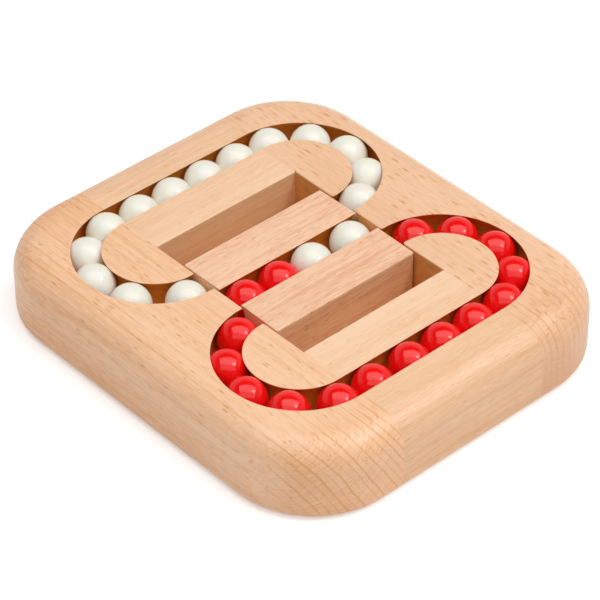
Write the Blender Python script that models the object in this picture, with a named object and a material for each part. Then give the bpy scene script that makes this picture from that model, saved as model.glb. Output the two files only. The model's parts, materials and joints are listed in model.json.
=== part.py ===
"""Rolling ball transfer puzzle: a beech slab with two stadium-shaped ball tracks and a sliding shuttle.

Metres, +Z up. The origin is the centre of the underside, +X runs along the straight tracks and +Y points
to the white loop. The slab is glued up from two end blocks and two rails, so both loops run through four
pieces of wood. The shuttle between the loops carries four balls from one loop to the other.
"""

import math

import bmesh
import bpy
from mathutils import Matrix, Vector

# The balls, and the round groove that they roll in
BALL_DIAMETER = 0.0120
BALL_CENTRE_DEPTH = 0.0047
BALL_SPACING_GAP = 0.00004
GROOVE_CLEARANCE = 0.0003
LOOP_BALLS = 14
CHANNEL_BALLS = 4
LOOP_SLACK = 0.01167
CHANNEL_SLACK = 0.0033
STOP_GAP = 0.0003

# Where the loose room in each row lies, as shares of all of it, after the first, second, ... ball
WHITE_ROOM_SHARES = (0.55, 0.20)
RED_ROOM_SHARES = (0.20, 0.03, 0.08, 0.24, 0.0, 0.20)
CHANNEL_ROOM_SHARES = (0.02, 0.0, 0.94)

# The shuttle, and the well that it slides in
SHUTTLE_WIDTH = 0.03846
SHUTTLE_TRAVEL = 0.0100
SHUTTLE_END_CLEARANCE = 0.00045
SHUTTLE_SIDE_CLEARANCE = 0.00082
SHUTTLE_FLOOR_CLEARANCE = 0.0003
TONGUE_LENGTH = 0.0032
TONGUE_THICKNESS = 0.0036
TONGUE_CLEARANCE = 0.0004

# The slab: its rims outside the grooves, and its rounds
BOARD_HEIGHT = 0.0232
END_RIM = 0.0078
SIDE_RIM = 0.0138
TRACK_LEAD = 0.00095
PLAN_CORNER_RADIUS = 0.0271
TOP_EDGE_RADIUS = 0.0089
FOOT_EDGE_RADIUS = 0.0032
GLUE_GAP = 0.0003

# The panel let into the underside
PANEL_THICKNESS = 0.0047
PANEL_LAP = 0.0075
PANEL_CORNER_RADIUS = 0.0040

# Mesh fineness
ARC_STEPS = 20
GROOVE_SIDES = 16
CORNER_STEPS = 8
TOP_EDGE_STEPS = 5
FOOT_EDGE_STEPS = 2
BALL_SEGMENTS = 12
BALL_RINGS = 8

# Worked out from the sizes above. The channel is as long as its balls need. Closed by the channel, a loop
# holds its own balls and the channel's, and that sets its radius.
BALL_RADIUS = BALL_DIAMETER / 2
BALL_HEIGHT = BOARD_HEIGHT - BALL_CENTRE_DEPTH
GROOVE_RADIUS = BALL_RADIUS + GROOVE_CLEARANCE
WELL_END = (CHANNEL_BALLS * BALL_DIAMETER + CHANNEL_SLACK) / 2
WELL_SIDE = SHUTTLE_WIDTH / 2 + SHUTTLE_TRAVEL + SHUTTLE_SIDE_CLEARANCE
SHUTTLE_END = WELL_END - SHUTTLE_END_CLEARANCE
SHUTTLE_FLOOR = PANEL_THICKNESS + SHUTTLE_FLOOR_CLEARANCE
TONGUE_TOP = SHUTTLE_FLOOR + TONGUE_THICKNESS
ARC_X = WELL_END + TRACK_LEAD
LOOP_LENGTH = (LOOP_BALLS + CHANNEL_BALLS) * BALL_DIAMETER + LOOP_SLACK
LOOP_RADIUS = (LOOP_LENGTH - 4 * ARC_X) / (2 * math.pi)
ARC_Y = SHUTTLE_TRAVEL + LOOP_RADIUS
HALF_TURN = math.pi * LOOP_RADIUS
BOARD_HALF_WIDTH = ARC_X + LOOP_RADIUS + GROOVE_RADIUS + END_RIM
BOARD_HALF_LENGTH = ARC_Y + LOOP_RADIUS + GROOVE_RADIUS + SIDE_RIM
MARGIN = 0.005


def clear_scene():
    for obj in list(bpy.data.objects):
        bpy.data.objects.remove(obj)


def new_collection(name, hidden=False):
    collection = bpy.data.collections.new(name)
    collection.hide_render = hidden
    bpy.context.scene.collection.children.link(collection)
    return collection


def new_material(name, colour, roughness):
    material = bpy.data.materials.new(name)
    material.use_nodes = True
    shader = material.node_tree.nodes["Principled BSDF"]
    shader.inputs["Base Color"].default_value = (*colour, 1.0)
    shader.inputs["Roughness"].default_value = roughness
    shader.inputs["Metallic"].default_value = 0.0
    return material


def mesh_object(name, bm, collection, material=None):
    mesh = bpy.data.meshes.new(name)
    bm.to_mesh(mesh)
    bm.free()
    return object_of(name, mesh, collection, material)


def object_of(name, mesh, collection, material=None):
    obj = bpy.data.objects.new(name, mesh)
    collection.objects.link(obj)
    if material is not None:
        obj.data.materials.append(material)
    return obj


def box_mesh(low, high):
    """A bmesh box between two corners."""
    low, high = Vector(low), Vector(high)
    bm = bmesh.new()
    bmesh.ops.create_cube(bm, size=1.0)
    bmesh.ops.scale(bm, vec=high - low, verts=bm.verts)
    bmesh.ops.translate(bm, vec=(low + high) / 2, verts=bm.verts)
    return bm


def edges_where(bm, keep):
    """The edges whose two ends both pass the test."""
    return [edge for edge in bm.edges if all(keep(vert.co) for vert in edge.verts)]


def upright_edges(bm):
    return [edge for edge in bm.edges if abs(edge.verts[0].co.z - edge.verts[1].co.z) > MARGIN / 10]


def round_edges(bm, edges, radius, steps):
    bmesh.ops.bevel(
        bm, geom=edges, offset=radius, offset_type="OFFSET", segments=steps, profile=0.5, affect="EDGES"
    )


def slab_blank():
    """The whole slab before it is cut: round corners in plan, a large top round and a small foot round."""
    corner = Vector((BOARD_HALF_WIDTH, BOARD_HALF_LENGTH, 0))
    bm = box_mesh(-corner, corner + Vector((0, 0, BOARD_HEIGHT)))
    round_edges(bm, upright_edges(bm), PLAN_CORNER_RADIUS, CORNER_STEPS)
    top = edges_where(bm, lambda co: abs(co.z - BOARD_HEIGHT) < 1e-6)
    round_edges(bm, top, TOP_EDGE_RADIUS, TOP_EDGE_STEPS)
    foot = edges_where(bm, lambda co: abs(co.z) < 1e-6)
    round_edges(bm, foot, FOOT_EDGE_RADIUS, FOOT_EDGE_STEPS)
    return bm


def as_cutter(obj):
    obj.hide_render = True
    obj.display_type = "WIRE"
    return obj


def add_boolean(obj, cutter, operation):
    modifier = obj.modifiers.new(cutter.name, "BOOLEAN")
    modifier.operation = operation
    modifier.solver = "EXACT"
    modifier.object = cutter


def track_point(distance):
    """The point of the white loop's open track this far along it, from the -X end beside the shuttle.

    Returns x, y and the stretch it lies on: the left arc, the straight, or the right arc.
    """
    if distance < HALF_TURN:
        angle = -math.pi / 2 - distance / LOOP_RADIUS
        x, centre, stretch = LOOP_RADIUS * math.cos(angle) - ARC_X, ARC_Y, "left_arc"
        return x, centre + LOOP_RADIUS * math.sin(angle), stretch
    if distance < HALF_TURN + 2 * ARC_X:
        return distance - HALF_TURN - ARC_X, ARC_Y + LOOP_RADIUS, "straight"
    angle = math.pi / 2 - (distance - HALF_TURN - 2 * ARC_X) / LOOP_RADIUS
    return ARC_X + LOOP_RADIUS * math.cos(angle), ARC_Y + LOOP_RADIUS * math.sin(angle), "right_arc"


def next_along(distance):
    """Where along the track the next ball lies when it touches the ball at this distance."""
    pitch = BALL_DIAMETER + BALL_SPACING_GAP
    here = Vector(track_point(distance)[:2])
    found = distance + pitch
    for _ in range(6):
        found += pitch - (Vector(track_point(found)[:2]) - here).length
    return found


def row_between(start, end, count, step, shares):
    """Places of balls between two stops. Their loose room is shared out after the first, second, ... ball."""
    last = start
    for _ in range(count - 1):
        last = step(last)
    places = [start]
    for index in range(count - 1):
        share = shares[index] if index < len(shares) else 0.0
        places.append(step(places[-1]) + share * (end - last))
    return places


def loop_row(shares):
    """Distances along the open track of the balls in one loop, between the two ends of the shuttle."""
    end_ball_x = SHUTTLE_END + BALL_RADIUS + STOP_GAP
    covered = LOOP_RADIUS * math.asin((end_ball_x - ARC_X) / LOOP_RADIUS)
    end = 2 * HALF_TURN + 2 * ARC_X - covered
    return row_between(covered, end, LOOP_BALLS, next_along, shares)


def channel_row():
    """X of the balls in the shuttle's channel, between the noses of the end blocks."""
    end_ball_x = SHUTTLE_END - BALL_RADIUS + STOP_GAP / 2
    pitch = BALL_DIAMETER + BALL_SPACING_GAP
    return row_between(-end_ball_x, end_ball_x, CHANNEL_BALLS, lambda x: x + pitch, CHANNEL_ROOM_SHARES)


def tube_cutter(name, points, cyclic, collection):
    """A round bar of the groove's radius along a line, as the cutter that mills the groove."""
    curve = bpy.data.curves.new(name, "CURVE")
    curve.dimensions = "3D"
    curve.bevel_depth = GROOVE_RADIUS
    curve.bevel_resolution = (GROOVE_SIDES - 4) // 2
    curve.use_fill_caps = not cyclic
    spline = curve.splines.new("POLY")
    spline.points.add(len(points) - 1)
    for point, place in zip(spline.points, points):
        point.co = (*place, 1.0)
    spline.use_cyclic_u = cyclic
    guide = bpy.data.objects.new(name + "_line", curve)
    collection.objects.link(guide)
    bpy.context.view_layer.update()
    graph = bpy.context.evaluated_depsgraph_get()
    mesh = bpy.data.meshes.new_from_object(guide.evaluated_get(graph))
    bm = bmesh.new()
    bm.from_mesh(mesh)
    bmesh.ops.remove_doubles(bm, verts=bm.verts, dist=1e-6)
    bmesh.ops.recalc_face_normals(bm, faces=bm.faces)
    bpy.data.objects.remove(guide)
    bpy.data.meshes.remove(mesh)
    return as_cutter(mesh_object(name, bm, collection))


def loop_line(side):
    """Points of one whole closed loop at the balls' height. Side is +1 for the white loop, -1 for the red."""
    points = []
    for x_side, first in ((1, -math.pi / 2), (-1, math.pi / 2)):
        for step in range(ARC_STEPS + 1):
            angle = first + math.pi * step / ARC_STEPS
            x = x_side * ARC_X + LOOP_RADIUS * math.cos(angle)
            points.append((x, side * (ARC_Y + LOOP_RADIUS * math.sin(angle)), BALL_HEIGHT))
    return points


def panel_recess(clearance):
    """The panel's outline as a solid, larger by the clearance: the panel itself, or its recess."""
    half_x = WELL_END + PANEL_LAP + clearance
    half_y = WELL_SIDE + PANEL_LAP + clearance
    low = -MARGIN if clearance else 0.0
    bm = box_mesh((-half_x, -half_y, low), (half_x, half_y, PANEL_THICKNESS + clearance))
    round_edges(bm, upright_edges(bm), PANEL_CORNER_RADIUS + clearance, 3)
    return bm


def make_frame_piece(name, region, cutters, blank, parts, regions, material):
    piece = object_of(name, blank.copy(), parts, material)
    keep = as_cutter(mesh_object(name + "_region", box_mesh(*region), regions))
    add_boolean(piece, keep, "INTERSECT")
    for cutter in cutters:
        add_boolean(piece, cutter, "DIFFERENCE")
    return piece


def make_slab(parts, cutters, materials):
    """Two end blocks and two rails, each a cut of the same blank, with both tracks milled through them."""
    blank_object = mesh_object("blank", slab_blank(), cutters)
    blank = blank_object.data
    bpy.data.objects.remove(blank_object)
    loops = {
        side: tube_cutter(name, loop_line(side), True, cutters)
        for name, side in (("white_loop_cutter", 1), ("red_loop_cutter", -1))
    }
    recess = as_cutter(mesh_object("panel_recess", panel_recess(GLUE_GAP), cutters))
    slot_end = SHUTTLE_END + TONGUE_LENGTH + TONGUE_CLEARANCE
    slot_top = TONGUE_TOP + TONGUE_CLEARANCE
    slot_box = box_mesh((-slot_end, -WELL_SIDE, 0), (slot_end, WELL_SIDE, slot_top))
    slot = as_cutter(mesh_object("tongue_slot", slot_box, cutters))
    far_x, far_y, high = BOARD_HALF_WIDTH + MARGIN, BOARD_HALF_LENGTH + MARGIN, BOARD_HEIGHT + MARGIN
    for name, side in (("left_end_block", -1), ("right_end_block", 1)):
        ends = sorted((side * WELL_END, side * far_x))
        region = ((ends[0], -far_y, -MARGIN), (ends[1], far_y, high))
        tools = [loops[1], loops[-1], slot, recess]
        make_frame_piece(name, region, tools, blank, parts, cutters, materials["end_block_beech"])
    rail_end = WELL_END - GLUE_GAP
    for name, side in (("front_rail", -1), ("rear_rail", 1)):
        ends = sorted((side * WELL_SIDE, side * far_y))
        region = ((-rail_end, ends[0], -MARGIN), (rail_end, ends[1], high))
        make_frame_piece(name, region, [loops[side], recess], blank, parts, cutters, materials["rail_beech"])


def make_back_panel(parts, materials):
    mesh_object("back_panel", panel_recess(0.0), parts, materials["panel_beech"])


def make_shuttle(parts, cutters, materials):
    """The sliding block: a bar on each side of a round channel, and a tongue at each end under the tracks."""
    half = SHUTTLE_WIDTH / 2
    body = box_mesh((-SHUTTLE_END, -half, SHUTTLE_FLOOR), (SHUTTLE_END, half, BOARD_HEIGHT))
    shuttle = mesh_object("shuttle_block", body, parts, materials["shuttle_beech"])
    reach = SHUTTLE_END + TONGUE_LENGTH
    plate = box_mesh((-reach, -half, SHUTTLE_FLOOR), (reach, half, TONGUE_TOP))
    tongues = as_cutter(mesh_object("shuttle_tongues", plate, cutters))
    add_boolean(shuttle, tongues, "UNION")
    line = [(-reach - MARGIN, 0, BALL_HEIGHT), (reach + MARGIN, 0, BALL_HEIGHT)]
    add_boolean(shuttle, tube_cutter("channel_cutter", line, False, cutters), "DIFFERENCE")
    return shuttle


def make_axis(name, place, parts):
    axis = bpy.data.objects.new(name, None)
    axis.empty_display_size = BALL_DIAMETER
    axis.location = place
    parts.objects.link(axis)
    return axis


def ball_mesh(name, material):
    bm = bmesh.new()
    bmesh.ops.create_uvsphere(bm, u_segments=BALL_SEGMENTS, v_segments=BALL_RINGS, radius=BALL_RADIUS)
    mesh = bpy.data.meshes.new(name)
    bm.to_mesh(mesh)
    bm.free()
    mesh.materials.append(material)
    mesh.shade_smooth()
    return mesh


def place_ball(name, mesh, place, parent, parts):
    ball = bpy.data.objects.new(name, mesh)
    parts.objects.link(ball)
    ball.parent = parent
    ball.location = Vector(place) - parent.location


def make_loop_balls(colour, side, shares, mesh, parts):
    """One loop's balls, each on the axis of its stretch: an arc's centre, or the straight."""
    centres = {"left_arc": (-ARC_X, side * ARC_Y), "right_arc": (ARC_X, side * ARC_Y)}
    centres["straight"] = (0.0, side * (ARC_Y + LOOP_RADIUS))
    axes = {}
    for stretch, centre in centres.items():
        axes[stretch] = make_axis(f"{colour}_{stretch}_axis", (*centre, BALL_HEIGHT), parts)
    row = loop_row(shares)
    for number, distance in enumerate(row, 1):
        x, y, stretch = track_point(distance)
        name = f"{colour}_ball_{number:02d}"
        place_ball(name, mesh, (x, side * y, BALL_HEIGHT), axes[stretch], parts)
    return len(row)


def make_balls(shuttle, parts, materials):
    """Both loops and the channel. The channel's first half is red and its second half white."""
    meshes = {colour: ball_mesh(colour + "_ball", materials[colour + "_gloss"]) for colour in ("white", "red")}
    used = {
        "white": make_loop_balls("white", 1, WHITE_ROOM_SHARES, meshes["white"], parts),
        "red": make_loop_balls("red", -1, RED_ROOM_SHARES, meshes["red"], parts),
    }
    places = channel_row()
    for index, x in enumerate(places):
        colour = "red" if index < len(places) / 2 else "white"
        used[colour] += 1
        name = f"{colour}_ball_{used[colour]:02d}"
        place_ball(name, meshes[colour], (x, 0, BALL_HEIGHT), shuttle, parts)


def shade(parts):
    for obj in parts.objects:
        if obj.type == "MESH" and "ball" not in obj.name:
            obj.data.shade_smooth()
            obj.data.set_sharp_from_angle(angle=math.radians(30))


def main():
    clear_scene()
    parts = new_collection("ball_transfer_puzzle")
    cutters = new_collection("cutters", hidden=True)
    materials = {
        "end_block_beech": new_material("end_block_beech", (0.76, 0.50, 0.29), 0.45),
        "rail_beech": new_material("rail_beech", (0.80, 0.57, 0.37), 0.45),
        "shuttle_beech": new_material("shuttle_beech", (0.78, 0.49, 0.32), 0.48),
        "panel_beech": new_material("panel_beech", (0.72, 0.48, 0.28), 0.55),
        "white_gloss": new_material("white_gloss", (0.86, 0.84, 0.76), 0.15),
        "red_gloss": new_material("red_gloss", (0.78, 0.01, 0.01), 0.12),
    }
    make_slab(parts, cutters, materials)
    make_back_panel(parts, materials)
    shuttle = make_shuttle(parts, cutters, materials)
    make_balls(shuttle, parts, materials)
    shade(parts)


main()
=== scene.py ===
# %% [markdown]
# # A two-loop rolling ball puzzle in beech
#
# The toy is a thick beech slab with two tracks shaped like running tracks. White balls roll in one and red
# balls in the other. A wooden shuttle between the loops carries four balls across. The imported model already
# fixes every size and place, so this lesson reads them from it, models finer pieces on top, gives them wood
# and gloss, and sets up a plain white studio.

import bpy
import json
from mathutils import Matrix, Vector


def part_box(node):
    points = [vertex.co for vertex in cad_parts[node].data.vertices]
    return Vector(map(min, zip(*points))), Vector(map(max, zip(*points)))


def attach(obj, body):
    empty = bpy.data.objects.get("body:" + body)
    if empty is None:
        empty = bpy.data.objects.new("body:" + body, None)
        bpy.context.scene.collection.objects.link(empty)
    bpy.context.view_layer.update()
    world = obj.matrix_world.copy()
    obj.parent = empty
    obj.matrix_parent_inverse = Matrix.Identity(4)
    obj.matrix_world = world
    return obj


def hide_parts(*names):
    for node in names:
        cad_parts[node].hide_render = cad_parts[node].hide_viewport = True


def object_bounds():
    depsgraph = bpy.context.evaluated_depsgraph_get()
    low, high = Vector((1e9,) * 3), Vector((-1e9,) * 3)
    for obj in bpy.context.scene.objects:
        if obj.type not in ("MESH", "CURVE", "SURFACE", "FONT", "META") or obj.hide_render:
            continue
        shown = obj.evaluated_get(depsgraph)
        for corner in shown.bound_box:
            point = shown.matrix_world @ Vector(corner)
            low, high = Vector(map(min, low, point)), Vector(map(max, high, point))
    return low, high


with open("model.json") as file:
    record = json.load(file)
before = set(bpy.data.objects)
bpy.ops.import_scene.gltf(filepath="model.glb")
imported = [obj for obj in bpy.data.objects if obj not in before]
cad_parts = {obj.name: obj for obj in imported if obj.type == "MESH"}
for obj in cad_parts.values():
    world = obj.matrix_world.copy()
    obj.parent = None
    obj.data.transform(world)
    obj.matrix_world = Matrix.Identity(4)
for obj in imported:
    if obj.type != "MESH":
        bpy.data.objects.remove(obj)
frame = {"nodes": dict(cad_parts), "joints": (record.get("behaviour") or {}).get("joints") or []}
packed_low, packed_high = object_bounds()
print("packed box in mm:", [round(1000 * side, 2) for side in packed_high - packed_low])

# %% Modules
import json
import math

import bmesh
import bpy
from mathutils import Matrix, Vector

# %% [markdown]
# ## What the frame says
#
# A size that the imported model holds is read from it, so the finished pieces land where the solids are. The
# white loop's first ball turns about the centre of the left arc, and that joint gives the centre of the arc.
# The radii of the rounds can't be read off a box. They are named here with the values of the solids. Only the
# grooves' clearance is finer than theirs, and the eased edges and the glue lines are the lesson's own.

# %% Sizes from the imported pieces
slab_low = Vector((packed_low.x, packed_low.y, 0))
slab_high = Vector((packed_high.x, packed_high.y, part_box("left_end_block")[1].z))
top = slab_high.z
joint_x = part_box("right_end_block")[0].x
well_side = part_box("rear_rail")[0].y
shuttle_low, shuttle_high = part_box("shuttle_block")
panel_low, panel_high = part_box("back_panel")


def ball_centre(cad_node):
    low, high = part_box(cad_node)
    return (low + high) / 2


arc_joint = next(joint for joint in frame["joints"] if joint["name"] == "white_row_roll")
arc_x, arc_y = abs(arc_joint["pos_m"][0]), abs(arc_joint["pos_m"][1])
ball_z = ball_centre("white_ball_01").z
ball_radius = (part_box("white_ball_01")[1].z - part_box("white_ball_01")[0].z) / 2
loop_radius = (ball_centre("white_ball_01") - Vector((-arc_x, arc_y, ball_z))).length
print(f"loop radius {1000 * loop_radius:.2f} mm, ball {2000 * ball_radius:.2f} mm")
print(f"balls' centres at a height of {1000 * ball_z:.2f} mm")

# %% Rounds and clearances of the real piece
PLAN_CORNER_RADIUS = 0.0271
TOP_ROUND = 0.0089
FOOT_ROUND = 0.0032
GROOVE_CLEARANCE = 0.00018
LIP_EASE = 0.00045
SHUTTLE_EASE = 0.0006
CHANNEL_LIP_EASE = 0.0009
PANEL_EASE = 0.0003
PANEL_GAP = 0.00015
PANEL_CORNER_RADIUS = 0.0040
SEAM_GAP = 0.00001
TONGUE_TOP = 0.0086
SHUTTLE_END = 0.0252
SLOT_CLEARANCE = 0.0004
MARGIN = 0.004
SLACK = 1e-5
CURVE_SLACK = 5e-5
groove_radius = ball_radius + GROOVE_CLEARANCE

# %% [markdown]
# ## Hands for modelling
#
# An operator works on whatever is selected, so each step first says what that is. These short helpers select
# one object, open it in edit mode, and pick its faces or edges by their place. A finished piece keeps its
# object at the origin, with its place in the mesh, so that a pattern on object coordinates stays where it is.

# %% Helpers for selecting and editing
def only(obj):
    """Select this object alone and make it the active one."""
    bpy.ops.object.select_all(action="DESELECT")
    obj.select_set(True)
    bpy.context.view_layer.objects.active = obj
    return obj


def settle(name):
    """Name the new object and move its place into its mesh."""
    obj = bpy.context.object
    obj.name = name
    obj.data.name = name
    bpy.ops.object.transform_apply(location=True, rotation=True, scale=True)
    return obj


def pick(obj, kind, test):
    """In edit mode, select the edges or faces that pass the test, and say how many there are."""
    bpy.ops.mesh.select_mode(type=kind)
    bpy.ops.mesh.select_all(action="DESELECT")
    mesh = bmesh.from_edit_mesh(obj.data)
    chosen = [item for item in (mesh.edges if kind == "EDGE" else mesh.faces) if test(item)]
    for item in chosen:
        item.select_set(True)
    bmesh.update_edit_mesh(obj.data)
    return len(chosen)


def both_ends(test):
    """A test of an edge: both of its ends pass."""
    return lambda edge: all(test(vert.co) for vert in edge.verts)


def near(value, target, slack=SLACK):
    return abs(value - target) < slack


def upright(edge):
    """A test of an edge: it joins two heights."""
    return not near(edge.verts[0].co.z, edge.verts[1].co.z)


def block(name, low, high):
    """A box between two corners, from the cube primitive."""
    low, high = Vector(low), Vector(high)
    bpy.ops.object.select_all(action="DESELECT")
    bpy.ops.mesh.primitive_cube_add(size=1, location=(low + high) / 2)
    bpy.context.object.scale = high - low
    return settle(name)


def ease(obj, test, width, steps):
    """Bevel the edges that pass the test."""
    only(obj)
    bpy.ops.object.mode_set(mode="EDIT")
    count = pick(obj, "EDGE", test)
    bpy.ops.mesh.bevel(offset=width, segments=steps, profile=0.5, affect="EDGES", clamp_overlap=False)
    bpy.ops.object.mode_set(mode="OBJECT")
    return count


def cut(obj, tool, operation="DIFFERENCE"):
    """Apply a Boolean with the tool, which stays for the next piece."""
    only(obj)
    modifier = obj.modifiers.new("cut", "BOOLEAN")
    modifier.operation = operation
    modifier.solver = "EXACT"
    modifier.object = tool
    bpy.ops.object.modifier_apply(modifier=modifier.name)


# %% [markdown]
# ## The slab's outline
#
# The real slab is sawn to a rounded rectangle and then run past a large rounding cutter along its top edge
# and a small one along its foot. A cube with three bevels repeats those steps in the same order, so that the
# rounds meet at the corners the way the cutters leave them.

# %% Sawn blank with its three rounds
blank = block("blank", slab_low, slab_high)
ease(blank, upright, PLAN_CORNER_RADIUS, steps=30)
ease(blank, both_ends(lambda co: near(co.z, top)), TOP_ROUND, steps=12)
ease(blank, both_ends(lambda co: near(co.z, 0)), FOOT_ROUND, steps=5)
print("blank has", len(blank.data.polygons), "faces")

# %% [markdown]
# ## The cutter that mills a track
#
# A ball-nosed cutter leaves a groove with a round section that is wider below than at the top, and that holds
# the balls in. Its path is a running track: half a turn, a straight, half a turn, a straight. One ring of
# edges is spun round each arc's centre and extruded along each straight. A curve with a bevel would also do,
# but the spin keeps the ring's corners at chosen angles, so that no sliver is left at the slab's surface.

# %% A bar of the groove's section all round one loop
GROOVE_SIDES = 36
ARC_STEPS = 72


def loop_cutter(name, side):
    """The white loop is on side +1 and the red loop on side -1."""
    bpy.ops.object.select_all(action="DESELECT")
    start = (arc_x, side * (arc_y - loop_radius), ball_z)
    bpy.ops.mesh.primitive_circle_add(
        vertices=GROOVE_SIDES, radius=groove_radius, location=start, rotation=(0, math.pi / 2, 0)
    )
    ring = settle(name)
    bpy.ops.object.mode_set(mode="EDIT")
    bpy.ops.mesh.select_all(action="SELECT")
    for x_side in (1, -1):
        middle = (x_side * arc_x, side * arc_y, ball_z)
        bpy.ops.mesh.spin(steps=ARC_STEPS, angle=-side * math.pi, center=middle, axis=(0, 0, 1))
        bpy.ops.mesh.extrude_region_move(TRANSFORM_OT_translate={"value": (-x_side * 2 * arc_x, 0, 0)})
    bpy.ops.mesh.select_all(action="SELECT")
    bpy.ops.mesh.remove_doubles(threshold=1e-6)
    bpy.ops.mesh.normals_make_consistent(inside=False)
    bpy.ops.object.mode_set(mode="OBJECT")
    return ring


loops = {1: loop_cutter("white_loop_cutter", 1), -1: loop_cutter("red_loop_cutter", -1)}
for loop in loops.values():
    print(loop.name, [round(1000 * side, 2) for side in loop.dimensions], "mm")

# %% [markdown]
# ## Slots and recess
#
# The shuttle's tongues run in shallow slots under the tracks, and a thin panel is let into the underside. Two
# plain boxes cut them. The panel's recess has round corners, because a round cutter makes it.

# %% Tools for the tongue slot and the panel's recess
slot_reach = shuttle_high.x + SLOT_CLEARANCE
slot_tool = block(
    "slot_tool", (-slot_reach, -well_side, -MARGIN), (slot_reach, well_side, TONGUE_TOP + SLOT_CLEARANCE)
)
recess_size = Vector((PANEL_GAP, PANEL_GAP, 0))
recess_tool = block(
    "recess_tool", panel_low - recess_size - Vector((0, 0, MARGIN)), panel_high + recess_size
)
ease(recess_tool, upright, PANEL_CORNER_RADIUS, steps=8)

# %% [markdown]
# ## Four pieces of one slab
#
# The grain of an end block runs across the toy and the grain of a rail along it, so each is its own piece of
# wood and shows its own colour at the glue line. Each starts as a copy of the blank, is trimmed to its stretch
# of the slab, and is milled: an end block by both loops, and a rail by its own. Then the slots' thin lips and
# the edges round the well are eased, as sandpaper does.

# %% How far a point lies from a track's centre line
def track_distance(co, side):
    """Distance in plan from the middle of the track on that side."""
    y = abs(co.y - side * arc_y)
    x = max(abs(co.x) - arc_x, 0)
    return abs(math.hypot(x, y) - loop_radius)


lip_distance = math.sqrt(groove_radius**2 - (top - ball_z) ** 2)


def edge_points(edge):
    """Both ends of an edge and its middle."""
    first, second = (vert.co for vert in edge.verts)
    return first, second, (first + second) / 2


def on_lip(edge):
    """The edge follows the lip of one track."""
    points = edge_points(edge)
    return all(near(point.z, top) for point in points) and any(
        all(near(track_distance(point, side), lip_distance, CURVE_SLACK) for point in points) for side in loops
    )


def on_open_end(edge):
    """The edge borders the well: the top's edge there, or the round mouth of a track."""
    points = edge_points(edge)
    if not all(near(abs(point.x), joint_x) and abs(point.y) < well_side + SLACK for point in points):
        return False
    from_mouth = [math.hypot(abs(point.y) - (arc_y - loop_radius), point.z - ball_z) for point in points]
    on_top = all(near(point.z, top) for point in points)
    return on_top or all(near(reach, groove_radius, 2 * CURVE_SLACK) for reach in from_mouth)


print(f"a slot is {2000 * lip_distance:.2f} mm wide at the surface")


# %% Trim, mill and ease one piece of the slab
def smooth(obj, angle=32):
    """Smooth the rounds and keep the corners, with the flat faces leading."""
    only(obj)
    bpy.ops.object.shade_smooth_by_angle(angle=math.radians(angle))
    modifier = obj.modifiers.new("normals", "WEIGHTED_NORMAL")
    modifier.keep_sharp = True
    modifier.weight = 100
    bpy.ops.object.modifier_apply(modifier=modifier.name)


def on_joint(face):
    """The face is glued to the next piece, or ends the well."""
    return near(abs(face.normal.x), 1) and near(abs(face.calc_center_median().x), joint_x)


def slab_piece(name, region, tools, well_edge):
    """A copy of the blank within the region, cut by the tools."""
    only(blank)
    bpy.ops.object.duplicate()
    piece = settle(name)
    keep = block("keep", *region)
    cut(piece, keep, "INTERSECT")
    bpy.data.objects.remove(keep)
    for tool in tools:
        cut(piece, tool)
    only(piece)
    bpy.ops.object.mode_set(mode="EDIT")
    for y in (well_side, well_side + LIP_EASE, -well_side, -well_side - LIP_EASE):
        pick(piece, "FACE", on_joint)
        bpy.ops.mesh.bisect(plane_co=(0, y, 0), plane_no=(0, 1, 0))
    bpy.ops.object.mode_set(mode="OBJECT")
    edges = ease(piece, lambda edge: on_lip(edge) or well_edge(edge), LIP_EASE, steps=3)
    smooth(piece)
    print(f"{name}: {edges} eased edges, {len(piece.data.polygons)} faces")
    return piece


# %% The two end blocks
far_x, far_y, high = slab_high.x + MARGIN, slab_high.y + MARGIN, top + MARGIN
wood = {}
for name, side in (("left_block", -1), ("right_block", 1)):
    ends = sorted((side * joint_x, side * far_x))
    region = ((ends[0], -far_y, -MARGIN), (ends[1], far_y, high))
    tools = (loops[1], loops[-1], slot_tool, recess_tool)
    wood[name] = slab_piece(name, region, tools, on_open_end)

# %% The two rails
rail_end = joint_x - SEAM_GAP
for name, side in (("rail_front", -1), ("rail_rear", 1)):
    ends = sorted((side * well_side, side * far_y))
    region = ((-rail_end, ends[0], -MARGIN), (rail_end, ends[1], high))
    tools = (loops[side], recess_tool)
    beside_well = both_ends(lambda co: near(abs(co.y), well_side) and near(co.z, top))
    wood[name] = slab_piece(name, region, tools, beside_well)

# %% [markdown]
# ## The shuttle
#
# The shuttle is one block with a ball channel along its top and a thin tongue at each end that keeps it from
# lifting out. Its tongues are drawn out of its end faces: a bisect marks their height, and the lower end
# faces are extruded to their length. The channel is cut by the same round bar as the tracks.

# %% Block, tongues and channel
shuttle = block(
    "shuttle", (-SHUTTLE_END, shuttle_low.y, shuttle_low.z), (SHUTTLE_END, shuttle_high.y, shuttle_high.z)
)
bpy.ops.object.mode_set(mode="EDIT")
bpy.ops.mesh.select_all(action="SELECT")
bpy.ops.mesh.bisect(plane_co=(0, 0, TONGUE_TOP), plane_no=(0, 0, 1))
for side in (-1, 1):
    pick(
        shuttle,
        "FACE",
        lambda face: near(face.calc_center_median().x, side * SHUTTLE_END)
        and face.calc_center_median().z < TONGUE_TOP,
    )
    reach = side * (shuttle_high.x - SHUTTLE_END)
    bpy.ops.mesh.extrude_region_move(TRANSFORM_OT_translate={"value": (reach, 0, 0)})
bpy.ops.object.mode_set(mode="OBJECT")
print("shuttle with tongues:", [round(1000 * side, 2) for side in shuttle.dimensions], "mm")

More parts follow.
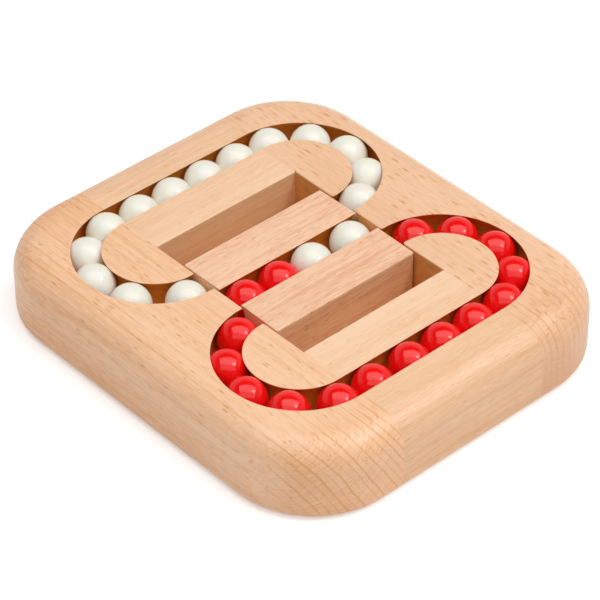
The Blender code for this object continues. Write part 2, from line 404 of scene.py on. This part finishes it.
# %% Channel and softened edges
bpy.ops.object.select_all(action="DESELECT")
bpy.ops.mesh.primitive_cylinder_add(
    vertices=GROOVE_SIDES,
    radius=groove_radius,
    depth=2 * far_x,
    location=(0, 0, ball_z),
    rotation=(0, math.pi / 2, 0),
)
channel_tool = settle("channel_tool")
cut(shuttle, channel_tool)
bpy.data.objects.remove(channel_tool)
channel_lip = both_ends(lambda co: near(co.z, top) and near(abs(co.y), lip_distance, CURVE_SLACK))
print("channel lips:", ease(shuttle, channel_lip, CHANNEL_LIP_EASE, steps=4))


def on_shuttle_outline(edge):
    """The top's outer edges and the upright corners of the block."""
    a, b = (vert.co for vert in edge.verts)
    on_top = near(a.z, top, 2 * SLACK) and near(b.z, top, 2 * SLACK)
    at_side = near(abs(a.y), shuttle_high.y) and near(abs(b.y), shuttle_high.y)
    at_end = near(abs(a.x), SHUTTLE_END) and near(abs(b.x), SHUTTLE_END) and near(a.x, b.x)
    at_corner = at_side and at_end and max(a.z, b.z) > TONGUE_TOP + 2 * CURVE_SLACK
    return at_corner or (on_top and (at_side or at_end))


print("shuttle outline:", ease(shuttle, on_shuttle_outline, SHUTTLE_EASE, steps=3))
smooth(shuttle)

# %% [markdown]
# ## The panel underneath
#
# The wells are milled right through, so a thin panel closes them from below and the shuttle glides on it. It
# is sawn with round corners, and its lower edge is broken so that it doesn't splinter.

# %% Panel with round corners
panel = block("underside_panel", panel_low, panel_high)
ease(panel, upright, PANEL_CORNER_RADIUS, steps=8)
ease(panel, both_ends(lambda co: near(co.z, panel_low.z)), PANEL_EASE, steps=2)
smooth(panel)

# %% [markdown]
# ## Balls
#
# A moulded ball is round to a few hundredths of a millimetre. A UV sphere has poles, where its faces bunch
# up, so the ball starts as a cube, is subdivided, and is cast onto a sphere, which spreads even quads. It is
# modelled once at the origin. Each copy gets its own mesh, is turned a little so that no two look alike, and
# is moved to its place.

# %% One ball
BALL_LEVELS = 4
bpy.ops.object.select_all(action="DESELECT")
bpy.ops.mesh.primitive_cube_add(size=2 * ball_radius)
first_ball = settle("first_ball")
rounding = first_ball.modifiers.new("subdivide", "SUBSURF")
rounding.levels = rounding.render_levels = BALL_LEVELS
bpy.ops.object.modifier_apply(modifier=rounding.name)
cast = first_ball.modifiers.new("cast", "CAST")
cast.cast_type = "SPHERE"
cast.factor = 1.0
cast.radius = ball_radius
cast.use_radius_as_size = False
cast.size = ball_radius
bpy.ops.object.modifier_apply(modifier=cast.name)
bpy.ops.object.shade_smooth()
ball_size = [round(1000 * side, 3) for side in first_ball.dimensions]
print("ball:", ball_size, "mm,", len(first_ball.data.polygons), "faces")

# %% A copy for each ball in the frame
TURN_STEP = math.radians(47)
balls = {}
for index, cad_node in enumerate(sorted(name for name in frame["nodes"] if "_ball_" in name)):
    mesh = first_ball.data.copy()
    turn = Matrix.Rotation(index * TURN_STEP, 4, "Z") @ Matrix.Rotation(index * TURN_STEP / 2, 4, "X")
    mesh.transform(Matrix.Translation(ball_centre(cad_node)) @ turn)
    ball = bpy.data.objects.new(cad_node.replace("_ball_", "_marble_"), mesh)
    mesh.name = ball.name
    bpy.context.collection.objects.link(ball)
    balls[cad_node] = ball
bpy.data.objects.remove(first_ball)
print(len(balls), "balls")

# %% Put the tools away
for tool in (blank, slot_tool, recess_tool, *loops.values()):
    bpy.data.objects.remove(tool)

# %% [markdown]
# ## Building materials from nodes
#
# A material here is a small graph. The helper below adds one node, sets its options, and fills each input
# either with a number or with a link, which keeps the graphs short enough to read.

# %% A helper that adds a node
def node(tree, kind, inputs=None, **settings):
    made = tree.nodes.new(kind)
    for name, value in settings.items():
        setattr(made, name, value)
    for key, value in (inputs or {}).items():
        if isinstance(value, bpy.types.NodeSocket):
            tree.links.new(value, made.inputs[key])
        else:
            made.inputs[key].default_value = value
    return made


def maths(tree, operation, *values):
    """A Math node's result."""
    return node(tree, "ShaderNodeMath", dict(enumerate(values)), operation=operation).outputs[0]


def blend_colours(tree, share, first, second, mode="MIX"):
    """A Mix node on colours: by share from the first to the second."""
    made = node(tree, "ShaderNodeMix", {0: share, 6: first, 7: second}, data_type="RGBA", blend_type=mode)
    return made.outputs[2]


def between(tree, value, start, end, low=0.0, high=1.0):
    """A smooth step: low up to start, and high from end on."""
    inputs = {"Value": value, "From Min": start, "From Max": end, "To Min": low, "To Max": high}
    return node(tree, "ShaderNodeMapRange", inputs, interpolation_type="SMOOTHSTEP").outputs[0]


def stretched(tree, vector, sizes):
    """The grain frame's vector divided by a size in each direction, in millimetres."""
    inputs = {0: vector, 1: [1 / size for size in sizes]}
    return node(tree, "ShaderNodeVectorMath", inputs, operation="MULTIPLY").outputs[0]


# %% [markdown]
# ## Beech
#
# Beech has no strong figure. What makes it beech is fine: pale straw to pink wood, faint growth rings that
# end in a thin darker line, hair-fine fibre streaks, and rays. A ray is a thin sheet that stands across the
# rings. It shows as a dark dash of one to three millimetres on a face that follows the rings, as a fleck on
# a face that cuts across them, and as a hair line on end grain. So the pattern is built in three dimensions,
# in a frame that runs along the grain, across the rings and along the rings. Each face of a block then shows
# its own right figure. End grain only shifts the balance: its fibres are calmer, its rings are stronger, and a
# fine hatch of rays shows.

# %% Node group: the figure of beech
# Each size is in millimetres: along the grain, across the rings and along the rings.
WANDER_SIZE = (42, 10, 15)
FIBRE_SIZE = (3.8, 0.36, 0.36)
STREAK_SIZE = (24, 1.3, 1.3)
RAY_CELL_SIZE = (5.0, 1.1, 0.6)
HATCH_SIZE = (3.0, 5.0, 0.34)
DRIFT_SIZE = (60, 20, 20)
LATE_WOOD_RISE = (0.60, 0.93)
LATE_WOOD_FALL = (0.94, 1.0)
WEAKEST_RING = 0.3
RAY_CORE = 0.06
RAY_FADE = 0.35
RAY_DEPTH = 0.6


def add_sockets(group, vector, numbers, results):
    """Give a group one vector input, number inputs with their defaults, and number outputs."""
    group.interface.new_socket(name=vector, in_out="INPUT", socket_type="NodeSocketVector")
    for name, value in numbers.items():
        socket = group.interface.new_socket(name=name, in_out="INPUT", socket_type="NodeSocketFloat")
        socket.default_value = value
    for name in results:
        group.interface.new_socket(name=name, in_out="OUTPUT", socket_type="NodeSocketFloat")
    return node(group, "NodeGroupInput")


def noise(tree, vector, sizes, detail):
    """Noise in the grain frame with its own size in each direction, from about -0.5 to 0.5."""
    inputs = {"Vector": stretched(tree, vector, sizes), "Scale": 1.0, "Detail": detail}
    return maths(tree, "SUBTRACT", node(tree, "ShaderNodeTexNoise", inputs).outputs["Fac"], 0.5)


def beech_figure():
    """A node group from a place in the grain frame, in millimetres, to masks of what shows there."""
    group = bpy.data.node_groups.new("beech_figure", "ShaderNodeTree")
    numbers = {"Ring Spacing": 3.0, "Ring Wander": 2.0, "Ray Share": 0.5, "Ray Reach": 0.25}
    results = ("Rings", "Fibres", "Streaks", "Rays", "Hatch", "Drift", "Height")
    entry = add_sockets(group, "Grain Place", numbers, results)
    place = entry.outputs["Grain Place"]

    wander = noise(group, place, WANDER_SIZE, 2.0)
    across = node(group, "ShaderNodeSeparateXYZ", {0: place}).outputs["Y"]
    bent = maths(group, "MULTIPLY_ADD", wander, entry.outputs["Ring Wander"], across)
    phase = maths(group, "DIVIDE", bent, entry.outputs["Ring Spacing"])
    along_ring = maths(group, "FRACT", phase)
    rise = between(group, along_ring, *LATE_WOOD_RISE)
    fall = between(group, along_ring, *LATE_WOOD_FALL, 1.0, 0.0)
    ring_number = maths(group, "FLOOR", phase)
    each_ring = node(group, "ShaderNodeTexWhiteNoise", {"W": ring_number}, noise_dimensions="1D")
    ring_strength = between(group, each_ring.outputs["Value"], 0.0, 1.0, WEAKEST_RING, 1.0)
    rings = maths(group, "MULTIPLY", maths(group, "MULTIPLY", rise, fall), ring_strength)

    fibres = noise(group, place, FIBRE_SIZE, 3.5)
    in_cells = {"Vector": stretched(group, place, RAY_CELL_SIZE), "Scale": 1.0, "Randomness": 1.0}
    cells = node(group, "ShaderNodeTexVoronoi", in_cells)
    dash = between(group, cells.outputs["Distance"], RAY_CORE, entry.outputs["Ray Reach"], 1.0, 0.0)
    cell_number = node(group, "ShaderNodeSeparateXYZ", {0: cells.outputs["Color"]}).outputs["X"]
    past_share = maths(group, "SUBTRACT", cell_number, entry.outputs["Ray Share"])
    rays = maths(group, "MULTIPLY", dash, between(group, past_share, -RAY_FADE, 0.0, 1.0, 0.0))

    outputs = {
        "Rings": rings,
        "Fibres": fibres,
        "Streaks": noise(group, place, STREAK_SIZE, 2.0),
        "Rays": rays,
        "Hatch": noise(group, place, HATCH_SIZE, 2.0),
        "Drift": noise(group, place, DRIFT_SIZE, 1.0),
        "Height": maths(group, "MULTIPLY_ADD", rays, -RAY_DEPTH, fibres),
    }
    node(group, "NodeGroupOutput", outputs)
    return group


figure_group = beech_figure()
print("beech figure:", len(figure_group.nodes), "nodes")


# %% [markdown]
# Shade is painted into the grooves and the wells: their wood is multiplied towards a deeper orange than the
# sanded top, as painted shade and painted warm bounce light. The groove is known by its distance from the
# track's centre line, and a well by the box round it. The shuttle's channel is a straight groove, which is the
# same shape with a radius of nothing.

# %% Node group: where shade is painted, in grooves and wells, and where end grain begins
# Distances in millimetres. The sanded top keeps its colour, and the painted shade starts a fraction of one
# below it. On the white loop's side the end grain starts further out, by the shift.
TOP_FADE = (0.5, 0.15)
WALL_FADE = (0.1, 0.5)
WELL_SLACK = 0.05
WHITE_END_SHIFT = 6.0


def hypotenuse(tree, first, second):
    """The length of a vector with these two sides."""
    pair = node(tree, "ShaderNodeCombineXYZ", {0: first, 1: second}).outputs[0]
    return node(tree, "ShaderNodeVectorMath", {0: pair}, operation="LENGTH").outputs["Value"]


def shaded_recesses_and_end_grain():
    """A node group from a place in millimetres to what lies there.

    It gives masks of the groove's wall and of the well's, where shade is painted, and how far along its grain a
    place lies in an end block, which says where the end grain begins.
    """
    group = bpy.data.node_groups.new("shaded_recesses_and_end_grain", "ShaderNodeTree")
    numbers = {"Arc X": 0.0, "Arc Y": 0.0, "Loop Radius": 0.0}
    entry = add_sockets(group, "Place", numbers, ("Groove Shade", "Well Shade", "End Distance"))
    axes = node(group, "ShaderNodeSeparateXYZ", {0: entry.outputs["Place"]}).outputs
    along, aside = maths(group, "ABSOLUTE", axes["X"]), maths(group, "ABSOLUTE", axes["Y"])
    beyond = maths(group, "MAXIMUM", maths(group, "SUBTRACT", along, entry.outputs["Arc X"]), 0.0)
    from_arc = maths(group, "SUBTRACT", aside, entry.outputs["Arc Y"])
    reach = hypotenuse(group, beyond, from_arc)
    off_centre = maths(group, "SUBTRACT", reach, entry.outputs["Loop Radius"])
    from_line = hypotenuse(group, off_centre, maths(group, "SUBTRACT", axes["Z"], 1000 * ball_z))
    # Painted shade: the groove's wall and the well, below the sanded top.
    below = between(group, axes["Z"], *(1000 * top - depth for depth in TOP_FADE), 1.0, 0.0)
    wall = between(group, from_line, *(1000 * groove_radius + past for past in WALL_FADE), 1.0, 0.0)
    between_ends = maths(group, "LESS_THAN", along, 1000 * joint_x + WELL_SLACK)
    between_sides = maths(group, "LESS_THAN", aside, 1000 * well_side + WELL_SLACK)
    in_well = maths(group, "MULTIPLY", between_ends, between_sides)
    to_red_end = maths(group, "MULTIPLY", axes["Y"], -1.0)
    to_white_end = maths(group, "SUBTRACT", axes["Y"], WHITE_END_SHIFT)
    outputs = {
        "Groove Shade": maths(group, "MULTIPLY", wall, below),
        "Well Shade": maths(group, "MULTIPLY", in_well, below),
        "End Distance": maths(group, "MAXIMUM", to_red_end, to_white_end),
    }
    node(group, "NodeGroupOutput", outputs)
    return group


recess_shade_and_end_group = shaded_recesses_and_end_grain()
print("milled places:", len(recess_shade_and_end_group.nodes), "nodes")


# %% A beech material for one kind of piece
# Painted shade and painted warm bounce light, multiplied over the wood of the grooves and the wells.
GROOVE_PAINTED_SHADE = (0.82, 0.42, 0.075, 1.0)
WELL_PAINTED_SHADE = (0.97, 0.95, 0.82, 1.0)
WELL_END_PAINTED_SHADE = (0.90, 0.68, 0.33, 1.0)
END_GRAIN_STARTS = 48.0
END_GRAIN_FULL = 60.0
END_GRAIN_CALM = 0.72
END_GRAIN_HATCH = 1.1
BAND_WANDER = 9.0
BAND_LINES = 0.6
BAND_PLAIN = 0.3
WAXED_ROUGHNESS = (0.30, 0.42)
PORE_BUMP = {"Strength": 0.25, "Distance": 0.00006}
ROUND_LOOPS = (1000 * arc_x, 1000 * arc_y, 1000 * loop_radius)
STRAIGHT_CHANNEL = (1000.0, 0.0, 0.0)


def grain_turn(grain, across_rings):
    """The rotation that lays the grain along X and the direction across the rings along Y."""
    first = Vector(grain).normalized()
    second = (Vector(across_rings) - first * first.dot(Vector(across_rings))).normalized()
    return Matrix((first, second, first.cross(second))).to_euler()


def placed_group(tree, group, inputs):
    """A group node in a material, with its inputs filled in."""
    return node(tree, "ShaderNodeGroup", inputs, node_tree=group)


def new_material(name):
    """A material's tree, its shader, and the object's own coordinates in millimetres."""
    material = bpy.data.materials.new(name)
    material.use_nodes = True
    tree = material.node_tree
    place = node(tree, "ShaderNodeTexCoord").outputs["Object"]
    in_mm = node(tree, "ShaderNodeMapping", {"Vector": place, "Scale": (1000,) * 3}).outputs["Vector"]
    return material, tree, tree.nodes["Principled BSDF"], in_mm


def beech(name, pale, deep, grain, across_rings, offset, spacing, wander=2.0, ray_share=0.5, ray_reach=0.25,
          rings=0.35, fibres=1.3, streaks=1.3, rays=0.5, drift=0.6, ray_colour=(0.62, 0.28, 0.13),
          slope=(0, 0, 0), base_tone=0.35, end_grain=0.0, end_tone=0.24, band=None, tracks=ROUND_LOOPS):
    """Waxed beech.

    The figure is laid out by offset, spacing, wander, ray_share and ray_reach. Rings, fibres, streaks, rays and
    drift say how much each part of it darkens the pale wood. Base_tone darkens a piece all over, and slope from
    one side to the other. End_grain strengthens the rings at a block's ends, and end_tone darkens those ends. A
    band is a darker strip: its place across the rings, its width and its strength.
    """
    material, tree, shader, in_mm = new_material(name)
    mapping = {"Vector": in_mm, "Location": offset, "Rotation": grain_turn(grain, across_rings)}
    turned = node(tree, "ShaderNodeMapping", mapping).outputs["Vector"]
    layout = {"Ring Spacing": spacing, "Ring Wander": wander, "Ray Share": ray_share, "Ray Reach": ray_reach}
    figure = placed_group(tree, figure_group, {"Grain Place": turned, **layout}).outputs
    around = dict(zip(("Arc X", "Arc Y", "Loop Radius"), tracks))
    recess_shade_and_end = placed_group(tree, recess_shade_and_end_group, {"Place": in_mm, **around}).outputs

    tone = maths(tree, "MULTIPLY", figure["Streaks"], streaks)
    tone = maths(tree, "MULTIPLY_ADD", figure["Fibres"], fibres, tone)
    ring_tone = maths(tree, "MULTIPLY", figure["Rings"], rings)
    if end_grain:
        at_end = between(tree, recess_shade_and_end["End Distance"], END_GRAIN_STARTS, END_GRAIN_FULL)
        tone = maths(tree, "MULTIPLY", tone, maths(tree, "MULTIPLY_ADD", at_end, -END_GRAIN_CALM, 1.0))
        ring_tone = maths(tree, "MULTIPLY", ring_tone, maths(tree, "MULTIPLY_ADD", at_end, end_grain, 1.0))
        hatch = maths(tree, "MULTIPLY", figure["Hatch"], at_end)
        tone = maths(tree, "MULTIPLY_ADD", hatch, END_GRAIN_HATCH, tone)
        tone = maths(tree, "MULTIPLY_ADD", at_end, end_tone, tone)
    tone = maths(tree, "ADD", tone, ring_tone)
    tone = maths(tree, "MULTIPLY_ADD", figure["Drift"], drift, tone)
    if band:
        middle, width, strength = band
        across = node(tree, "ShaderNodeSeparateXYZ", {0: turned}).outputs["Y"]
        off_middle = maths(tree, "SUBTRACT", across, middle)
        wandering = maths(tree, "MULTIPLY_ADD", figure["Drift"], BAND_WANDER, off_middle)
        inside = between(tree, maths(tree, "ABSOLUTE", wandering), 0.0, width, strength, 0.0)
        lines = maths(tree, "MULTIPLY_ADD", figure["Rings"], BAND_LINES, BAND_PLAIN)
        tone = maths(tree, "MULTIPLY_ADD", inside, lines, tone)
    sloped = node(tree, "ShaderNodeVectorMath", {0: in_mm, 1: slope}, operation="DOT_PRODUCT").outputs["Value"]
    tone = maths(tree, "ADD", maths(tree, "ADD", sloped, base_tone), tone)
    tone = node(tree, "ShaderNodeClamp", {0: tone}).outputs[0]

    colour = blend_colours(tree, tone, (*pale, 1), (*deep, 1))
    colour = blend_colours(tree, maths(tree, "MULTIPLY", figure["Rays"], rays), colour, (*ray_colour, 1))
    # Painted shade and painted warm bounce light in the wells and the grooves.
    well_painted_shade = WELL_END_PAINTED_SHADE if end_grain else WELL_PAINTED_SHADE
    colour = blend_colours(tree, recess_shade_and_end["Well Shade"], colour, well_painted_shade, mode="MULTIPLY")
    colour = blend_colours(tree, recess_shade_and_end["Groove Shade"], colour, GROOVE_PAINTED_SHADE, mode="MULTIPLY")
    tree.links.new(colour, shader.inputs["Base Color"])
    tree.links.new(between(tree, tone, 0.0, 1.0, *WAXED_ROUGHNESS), shader.inputs["Roughness"])
    bump = node(tree, "ShaderNodeBump", {"Height": figure["Height"], **PORE_BUMP})
    tree.links.new(bump.outputs["Normal"], shader.inputs["Normal"])
    return material


# %% Beech for each kind of piece
ALONG_X = (1, 0, 0)
ALONG_Y = (0, 1, 0)
woods = {
    "left_block": beech(
        "beech_left_block", (0.975, 0.62, 0.388), (0.80, 0.385, 0.155), ALONG_Y, (0.873, 0, 0.488),
        offset=(13, 4, 2), spacing=1.9, wander=2.2, ray_share=0.5, ray_reach=0.36,
        rings=0.20, fibres=1.35, streaks=1.0, rays=0.8, ray_colour=(0.66, 0.30, 0.10),
        slope=(0, 0.003, -0.017), base_tone=0.55, end_grain=2.6, band=(-34.0, 6.0, 0.62),
    ),
    "right_block": beech(
        "beech_right_block", (0.985, 0.64, 0.41), (0.77, 0.41, 0.215), ALONG_Y, (1, 0, 0.06),
        offset=(71, 30, 9), spacing=2.4, ray_share=0.50, ray_reach=0.52,
        rings=0.16, fibres=1.1, streaks=0.5, rays=1.0, ray_colour=(0.74, 0.33, 0.12),
        slope=(0, 0, -0.030), base_tone=1.02, end_grain=3.0, end_tone=0.14,
    ),
    "rail_rear": beech(
        "beech_rear_rail", (0.97, 0.655, 0.425), (0.79, 0.44, 0.23), ALONG_X, (0, 0.35, 0.93),
        offset=(5, 50, 31), spacing=4.5, ray_share=0.5,
        rings=0.2, fibres=1.1, streaks=0.8, rays=0.6, ray_colour=(0.70, 0.33, 0.13),
        slope=(0, 0.012, -0.012), base_tone=0.10,
    ),
    "rail_front": beech(
        "beech_front_rail", (0.98, 0.67, 0.44), (0.79, 0.44, 0.22), ALONG_X, (0, 0.25, 0.97),
        offset=(40, 17, 77), spacing=5.0, ray_share=0.6,
        rings=0.2, fibres=1.1, streaks=0.7, rays=0.7, ray_colour=(0.70, 0.33, 0.13),
        slope=(0, -0.013, -0.012), base_tone=-0.03,
    ),
    "shuttle": beech(
        "beech_shuttle", (0.97, 0.63, 0.42), (0.80, 0.39, 0.22), ALONG_X, (0, 0.2, 0.98),
        offset=(90, 3, 55), spacing=6.0, ray_share=0.85,
        rings=0.15, fibres=1.9, streaks=1.7, rays=0.85, ray_colour=(0.55, 0.23, 0.13),
        tracks=STRAIGHT_CHANNEL,
    ),
    "panel": beech(
        "beech_panel", (0.86, 0.56, 0.34), (0.66, 0.36, 0.18), ALONG_Y, (0.1, 0, 0.99),
        offset=(9, 20, 5), spacing=5.0,
    ),
}
print(len(woods), "beech materials")

# %% [markdown]
# ## Glossy balls
#
# The balls are moulded and highly polished. Their colour wanders a little, and the polish is broken by faint
# scuffs from rolling, which show only in the roughness. The white plastic is milky: a little light goes in and
# comes out close by. A warm sheen stands for the light that it passes on to its shaded side.

# %% Node group: scuffs from rolling
SCUFF_SCALE = 2.6
CLOUD_SCALE = 0.16
SCUFF_EDGE = (0.52, 0.72)


def rolling_scuffs():
    """A node group from a place in millimetres to a mask of fine scuffs and a slow change of colour."""
    group = bpy.data.node_groups.new("rolling_scuffs", "ShaderNodeTree")
    place = add_sockets(group, "Place", {}, ("Scuffs", "Cloud")).outputs["Place"]
    fine = {"Vector": place, "Scale": SCUFF_SCALE, "Detail": 4.0, "Roughness": 0.7}
    coarse = {"Vector": place, "Scale": CLOUD_SCALE, "Detail": 1.0}
    scratches = node(group, "ShaderNodeTexNoise", fine).outputs["Fac"]
    cloud = node(group, "ShaderNodeTexNoise", coarse).outputs["Fac"]
    outputs = {"Scuffs": between(group, scratches, *SCUFF_EDGE), "Cloud": cloud}
    node(group, "NodeGroupOutput", outputs)
    return group


scuff_group = rolling_scuffs()
print("rolling scuffs:", len(scuff_group.nodes), "nodes")

# %% A gloss material for each colour of ball
PLASTIC_IOR = 1.5
MILKY = {
    "Subsurface Radius": (1.0, 0.8, 0.5),
    "Subsurface Scale": 0.002,
    "Sheen Roughness": 0.6,
    "Sheen Tint": (1.0, 0.89, 0.66, 1.0),
}


def gloss(name, light, dark, polish, scuffed, milky=0.0):
    """A polished moulded material between two close colours and two roughnesses."""
    material, tree, shader, in_mm = new_material(name)
    marks = placed_group(tree, scuff_group, {"Place": in_mm}).outputs
    colour = blend_colours(tree, marks["Cloud"], (*light, 1), (*dark, 1))
    tree.links.new(colour, shader.inputs["Base Color"])
    tree.links.new(between(tree, marks["Scuffs"], 0.0, 1.0, polish, scuffed), shader.inputs["Roughness"])
    values = {"IOR": PLASTIC_IOR, "Subsurface Weight": milky, "Sheen Weight": milky, **MILKY}
    for socket, value in values.items():
        shader.inputs[socket].default_value = value
    return material


glosses = {
    "white": gloss("white_gloss_ball", (0.935, 0.92, 0.83), (0.915, 0.89, 0.78), 0.14, 0.26, milky=0.75),
    "red": gloss("red_gloss_ball", (0.95, 0.008, 0.006), (0.89, 0.004, 0.004), 0.13, 0.22),
}
print(len(glosses), "gloss materials")

# %% [markdown]
# ## Joining the pieces to the frame
#
# Each finished piece stands for one imported solid, takes its material slot, and rides on its body, so it moves
# with it when the shuttle slides or a row of balls closes up.

# %% Ride, replace and give each piece its material
stands_for = {
    "left_block": ("left_end_block", "frame", "end_block_beech"),
    "right_block": ("right_end_block", "frame", "end_block_beech"),
    "rail_rear": ("rear_rail", "frame", "rail_beech"),
    "rail_front": ("front_rail", "frame", "rail_beech"),
    "shuttle": ("shuttle_block", "shuttle", "shuttle_beech"),
    "panel": ("back_panel", "frame", "panel_beech"),
}
wood["shuttle"] = shuttle
wood["panel"] = panel
for key, (cad_node, body, slot) in stands_for.items():
    piece = wood[key]
    piece.data.materials.clear()
    piece.data.materials.append(woods[key])
    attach(piece, body)
    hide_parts(cad_node)
for cad_node, ball in balls.items():
    colour = cad_node.split("_")[0]
    ball.data.materials.clear()
    ball.data.materials.append(glosses[colour])
    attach(ball, cad_node)
    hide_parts(cad_node)
print(len(stands_for) + len(balls), "pieces joined to the frame")

# %% [markdown]
# ## A white studio
#
# The toy is shown on seamless white. The world is pure white only where the camera looks at it, and lights the
# toy at a plain level, so that the wood keeps the colour it was given. The floor's paper is lifted to white for
# the camera and for mirrors in the same way, and keeps the toy's shadow. Balls mirror the studio: a pale wall
# on the far side that ends below a dark ceiling, little on the camera's side, two wide softboxes overhead and
# in front, and a small one to the right.

# %% World
TOWARDS_CAMERA = Vector((-0.672, -0.741, 0))
TO_THE_RIGHT = Vector((0.741, -0.672, 0))
WALL_LEVEL = 0.60
CEILING_LEVEL = 0.01
CEILING_STARTS = (0.50, 0.70)
CAMERA_SIDE_STARTS = (-0.1, 0.4)
CAMERA_SIDE_LEVEL = 0.12
FILL_LOW = 0.28
FILL_HIGH = 0.18
world = bpy.data.worlds.new("studio")
bpy.context.scene.world = world
world.use_nodes = True
sky = world.node_tree
background = sky.nodes["Background"]
direction = node(sky, "ShaderNodeTexCoord").outputs["Generated"]
height = node(sky, "ShaderNodeSeparateXYZ", {0: direction}).outputs["Z"]
seen = node(sky, "ShaderNodeLightPath")
towards = node(sky, "ShaderNodeVectorMath", {0: direction, 1: TOWARDS_CAMERA}, operation="DOT_PRODUCT")
wall = between(sky, height, *CEILING_STARTS, WALL_LEVEL, CEILING_LEVEL)
far_side = between(sky, towards.outputs["Value"], *CAMERA_SIDE_STARTS, 1.0, CAMERA_SIDE_LEVEL)
shown_to_mirrors = maths(sky, "MULTIPLY", wall, far_side)
fill = node(sky, "ShaderNodeMapRange", {"Value": height, "To Min": FILL_LOW, "To Max": FILL_HIGH}).outputs[0]
mirrored = maths(sky, "MAXIMUM", seen.outputs["Is Glossy Ray"], seen.outputs["Is Transmission Ray"])
lit = node(sky, "ShaderNodeMix", {0: mirrored, 2: fill, 3: shown_to_mirrors}).outputs[0]
strength = node(sky, "ShaderNodeMix", {0: seen.outputs["Is Camera Ray"], 2: lit, 3: 1.0}).outputs[0]
sky.links.new(strength, background.inputs["Strength"])
background.inputs["Color"].default_value = (1.0, 1.0, 1.0, 1.0)
print("world:", len(sky.nodes), "nodes")

# %% Floor
FLOOR_DROP = 0.0001
FLOOR_SIZE = 6
PAPER_COLOUR = (0.90, 0.90, 0.90, 1.0)
PAPER_LIFT = 0.38
bpy.ops.object.select_all(action="DESELECT")
bpy.ops.mesh.primitive_plane_add(size=FLOOR_SIZE, location=(0, 0, -FLOOR_DROP))
floor = settle("studio_floor")
paper = bpy.data.materials.new("white_paper")
paper.use_nodes = True
tree = paper.node_tree
tree.nodes.clear()
seen = node(tree, "ShaderNodeLightPath")
matt = node(tree, "ShaderNodeBsdfDiffuse", {"Color": PAPER_COLOUR})
lift = node(tree, "ShaderNodeEmission", {"Color": (1, 1, 1, 1), "Strength": PAPER_LIFT})
bright = node(tree, "ShaderNodeAddShader", {0: matt.outputs[0], 1: lift.outputs[0]})
shown = maths(tree, "MAXIMUM", seen.outputs["Is Camera Ray"], seen.outputs["Is Glossy Ray"])
choice = node(tree, "ShaderNodeMixShader", {0: shown, 1: matt.outputs[0], 2: bright.outputs[0]})
node(tree, "ShaderNodeOutputMaterial", {"Surface": choice.outputs[0]})
floor.data.materials.append(paper)


# %% Lamps
def softbox(name, elevation, aside, distance, half_wide, half_high, radiance):
    """A rectangular lamp that faces the toy.

    Its place is an elevation on the camera's side and an angle to the right, and its size is two half angles,
    all in degrees and seen from the toy. Its radiance is what a mirror would show, where 1 is white.
    """
    up, lean = math.radians(elevation), math.radians(aside)
    facing = math.cos(up) * TOWARDS_CAMERA + math.sin(up) * Vector((0, 0, 1))
    facing = (math.cos(lean) * facing + math.sin(lean) * TO_THE_RIGHT).normalized()
    wide = (TO_THE_RIGHT - facing * facing.dot(TO_THE_RIGHT)).normalized()
    bpy.ops.object.light_add(type="AREA", location=facing * distance)
    lamp = bpy.context.object
    lamp.name = name
    lamp.rotation_euler = Matrix((wide, facing.cross(wide), facing)).transposed().to_euler()
    lamp.data.shape = "RECTANGLE"
    lamp.data.size = 2 * distance * math.tan(math.radians(half_wide))
    lamp.data.size_y = 2 * distance * math.tan(math.radians(half_high))
    lamp.data.energy = radiance * math.pi * lamp.data.size * lamp.data.size_y
    return lamp


lamps = [
    softbox("overhead_softbox", 92, 8, distance=1.2, half_wide=38, half_high=20, radiance=2.2),
    softbox("front_softbox", 57, 8, distance=1.2, half_wide=38, half_high=15, radiance=1.15),
    softbox("small_softbox", 80.7, 35.8, distance=1.1, half_wide=5.5, half_high=5.5, radiance=8.0),
]
print("lamps in watts:", [round(lamp.data.energy, 2) for lamp in lamps])

# %% [markdown]
# ## Camera
#
# The view looks down on a corner with a long lens. Its angles and distance come from fitting a pinhole
# camera to the slab's outline, so it is placed by its angles round a target on the top face.

# %% Camera from its angles
AZIMUTH = math.radians(42.18)
ELEVATION = math.radians(39.36)
DISTANCE = 0.8044
LENS = 179.3
SENSOR_WIDTH = 36
NEAREST_SEEN = 0.01
TARGET = Vector((-0.01207, -0.01360, 0.0232))
forward = Vector(
    (math.cos(ELEVATION) * math.sin(AZIMUTH), math.cos(ELEVATION) * math.cos(AZIMUTH), -math.sin(ELEVATION))
)
bpy.ops.object.camera_add(location=TARGET - forward * DISTANCE)
camera = bpy.context.object
camera.name = "photo_camera"
camera.rotation_euler = forward.to_track_quat("-Z", "Y").to_euler()
camera.data.lens = LENS
camera.data.sensor_width = SENSOR_WIDTH
camera.data.clip_start = NEAREST_SEEN
bpy.context.scene.camera = camera
bpy.context.scene.view_settings.view_transform = "Standard"
print("camera at", [round(side, 3) for side in camera.location])
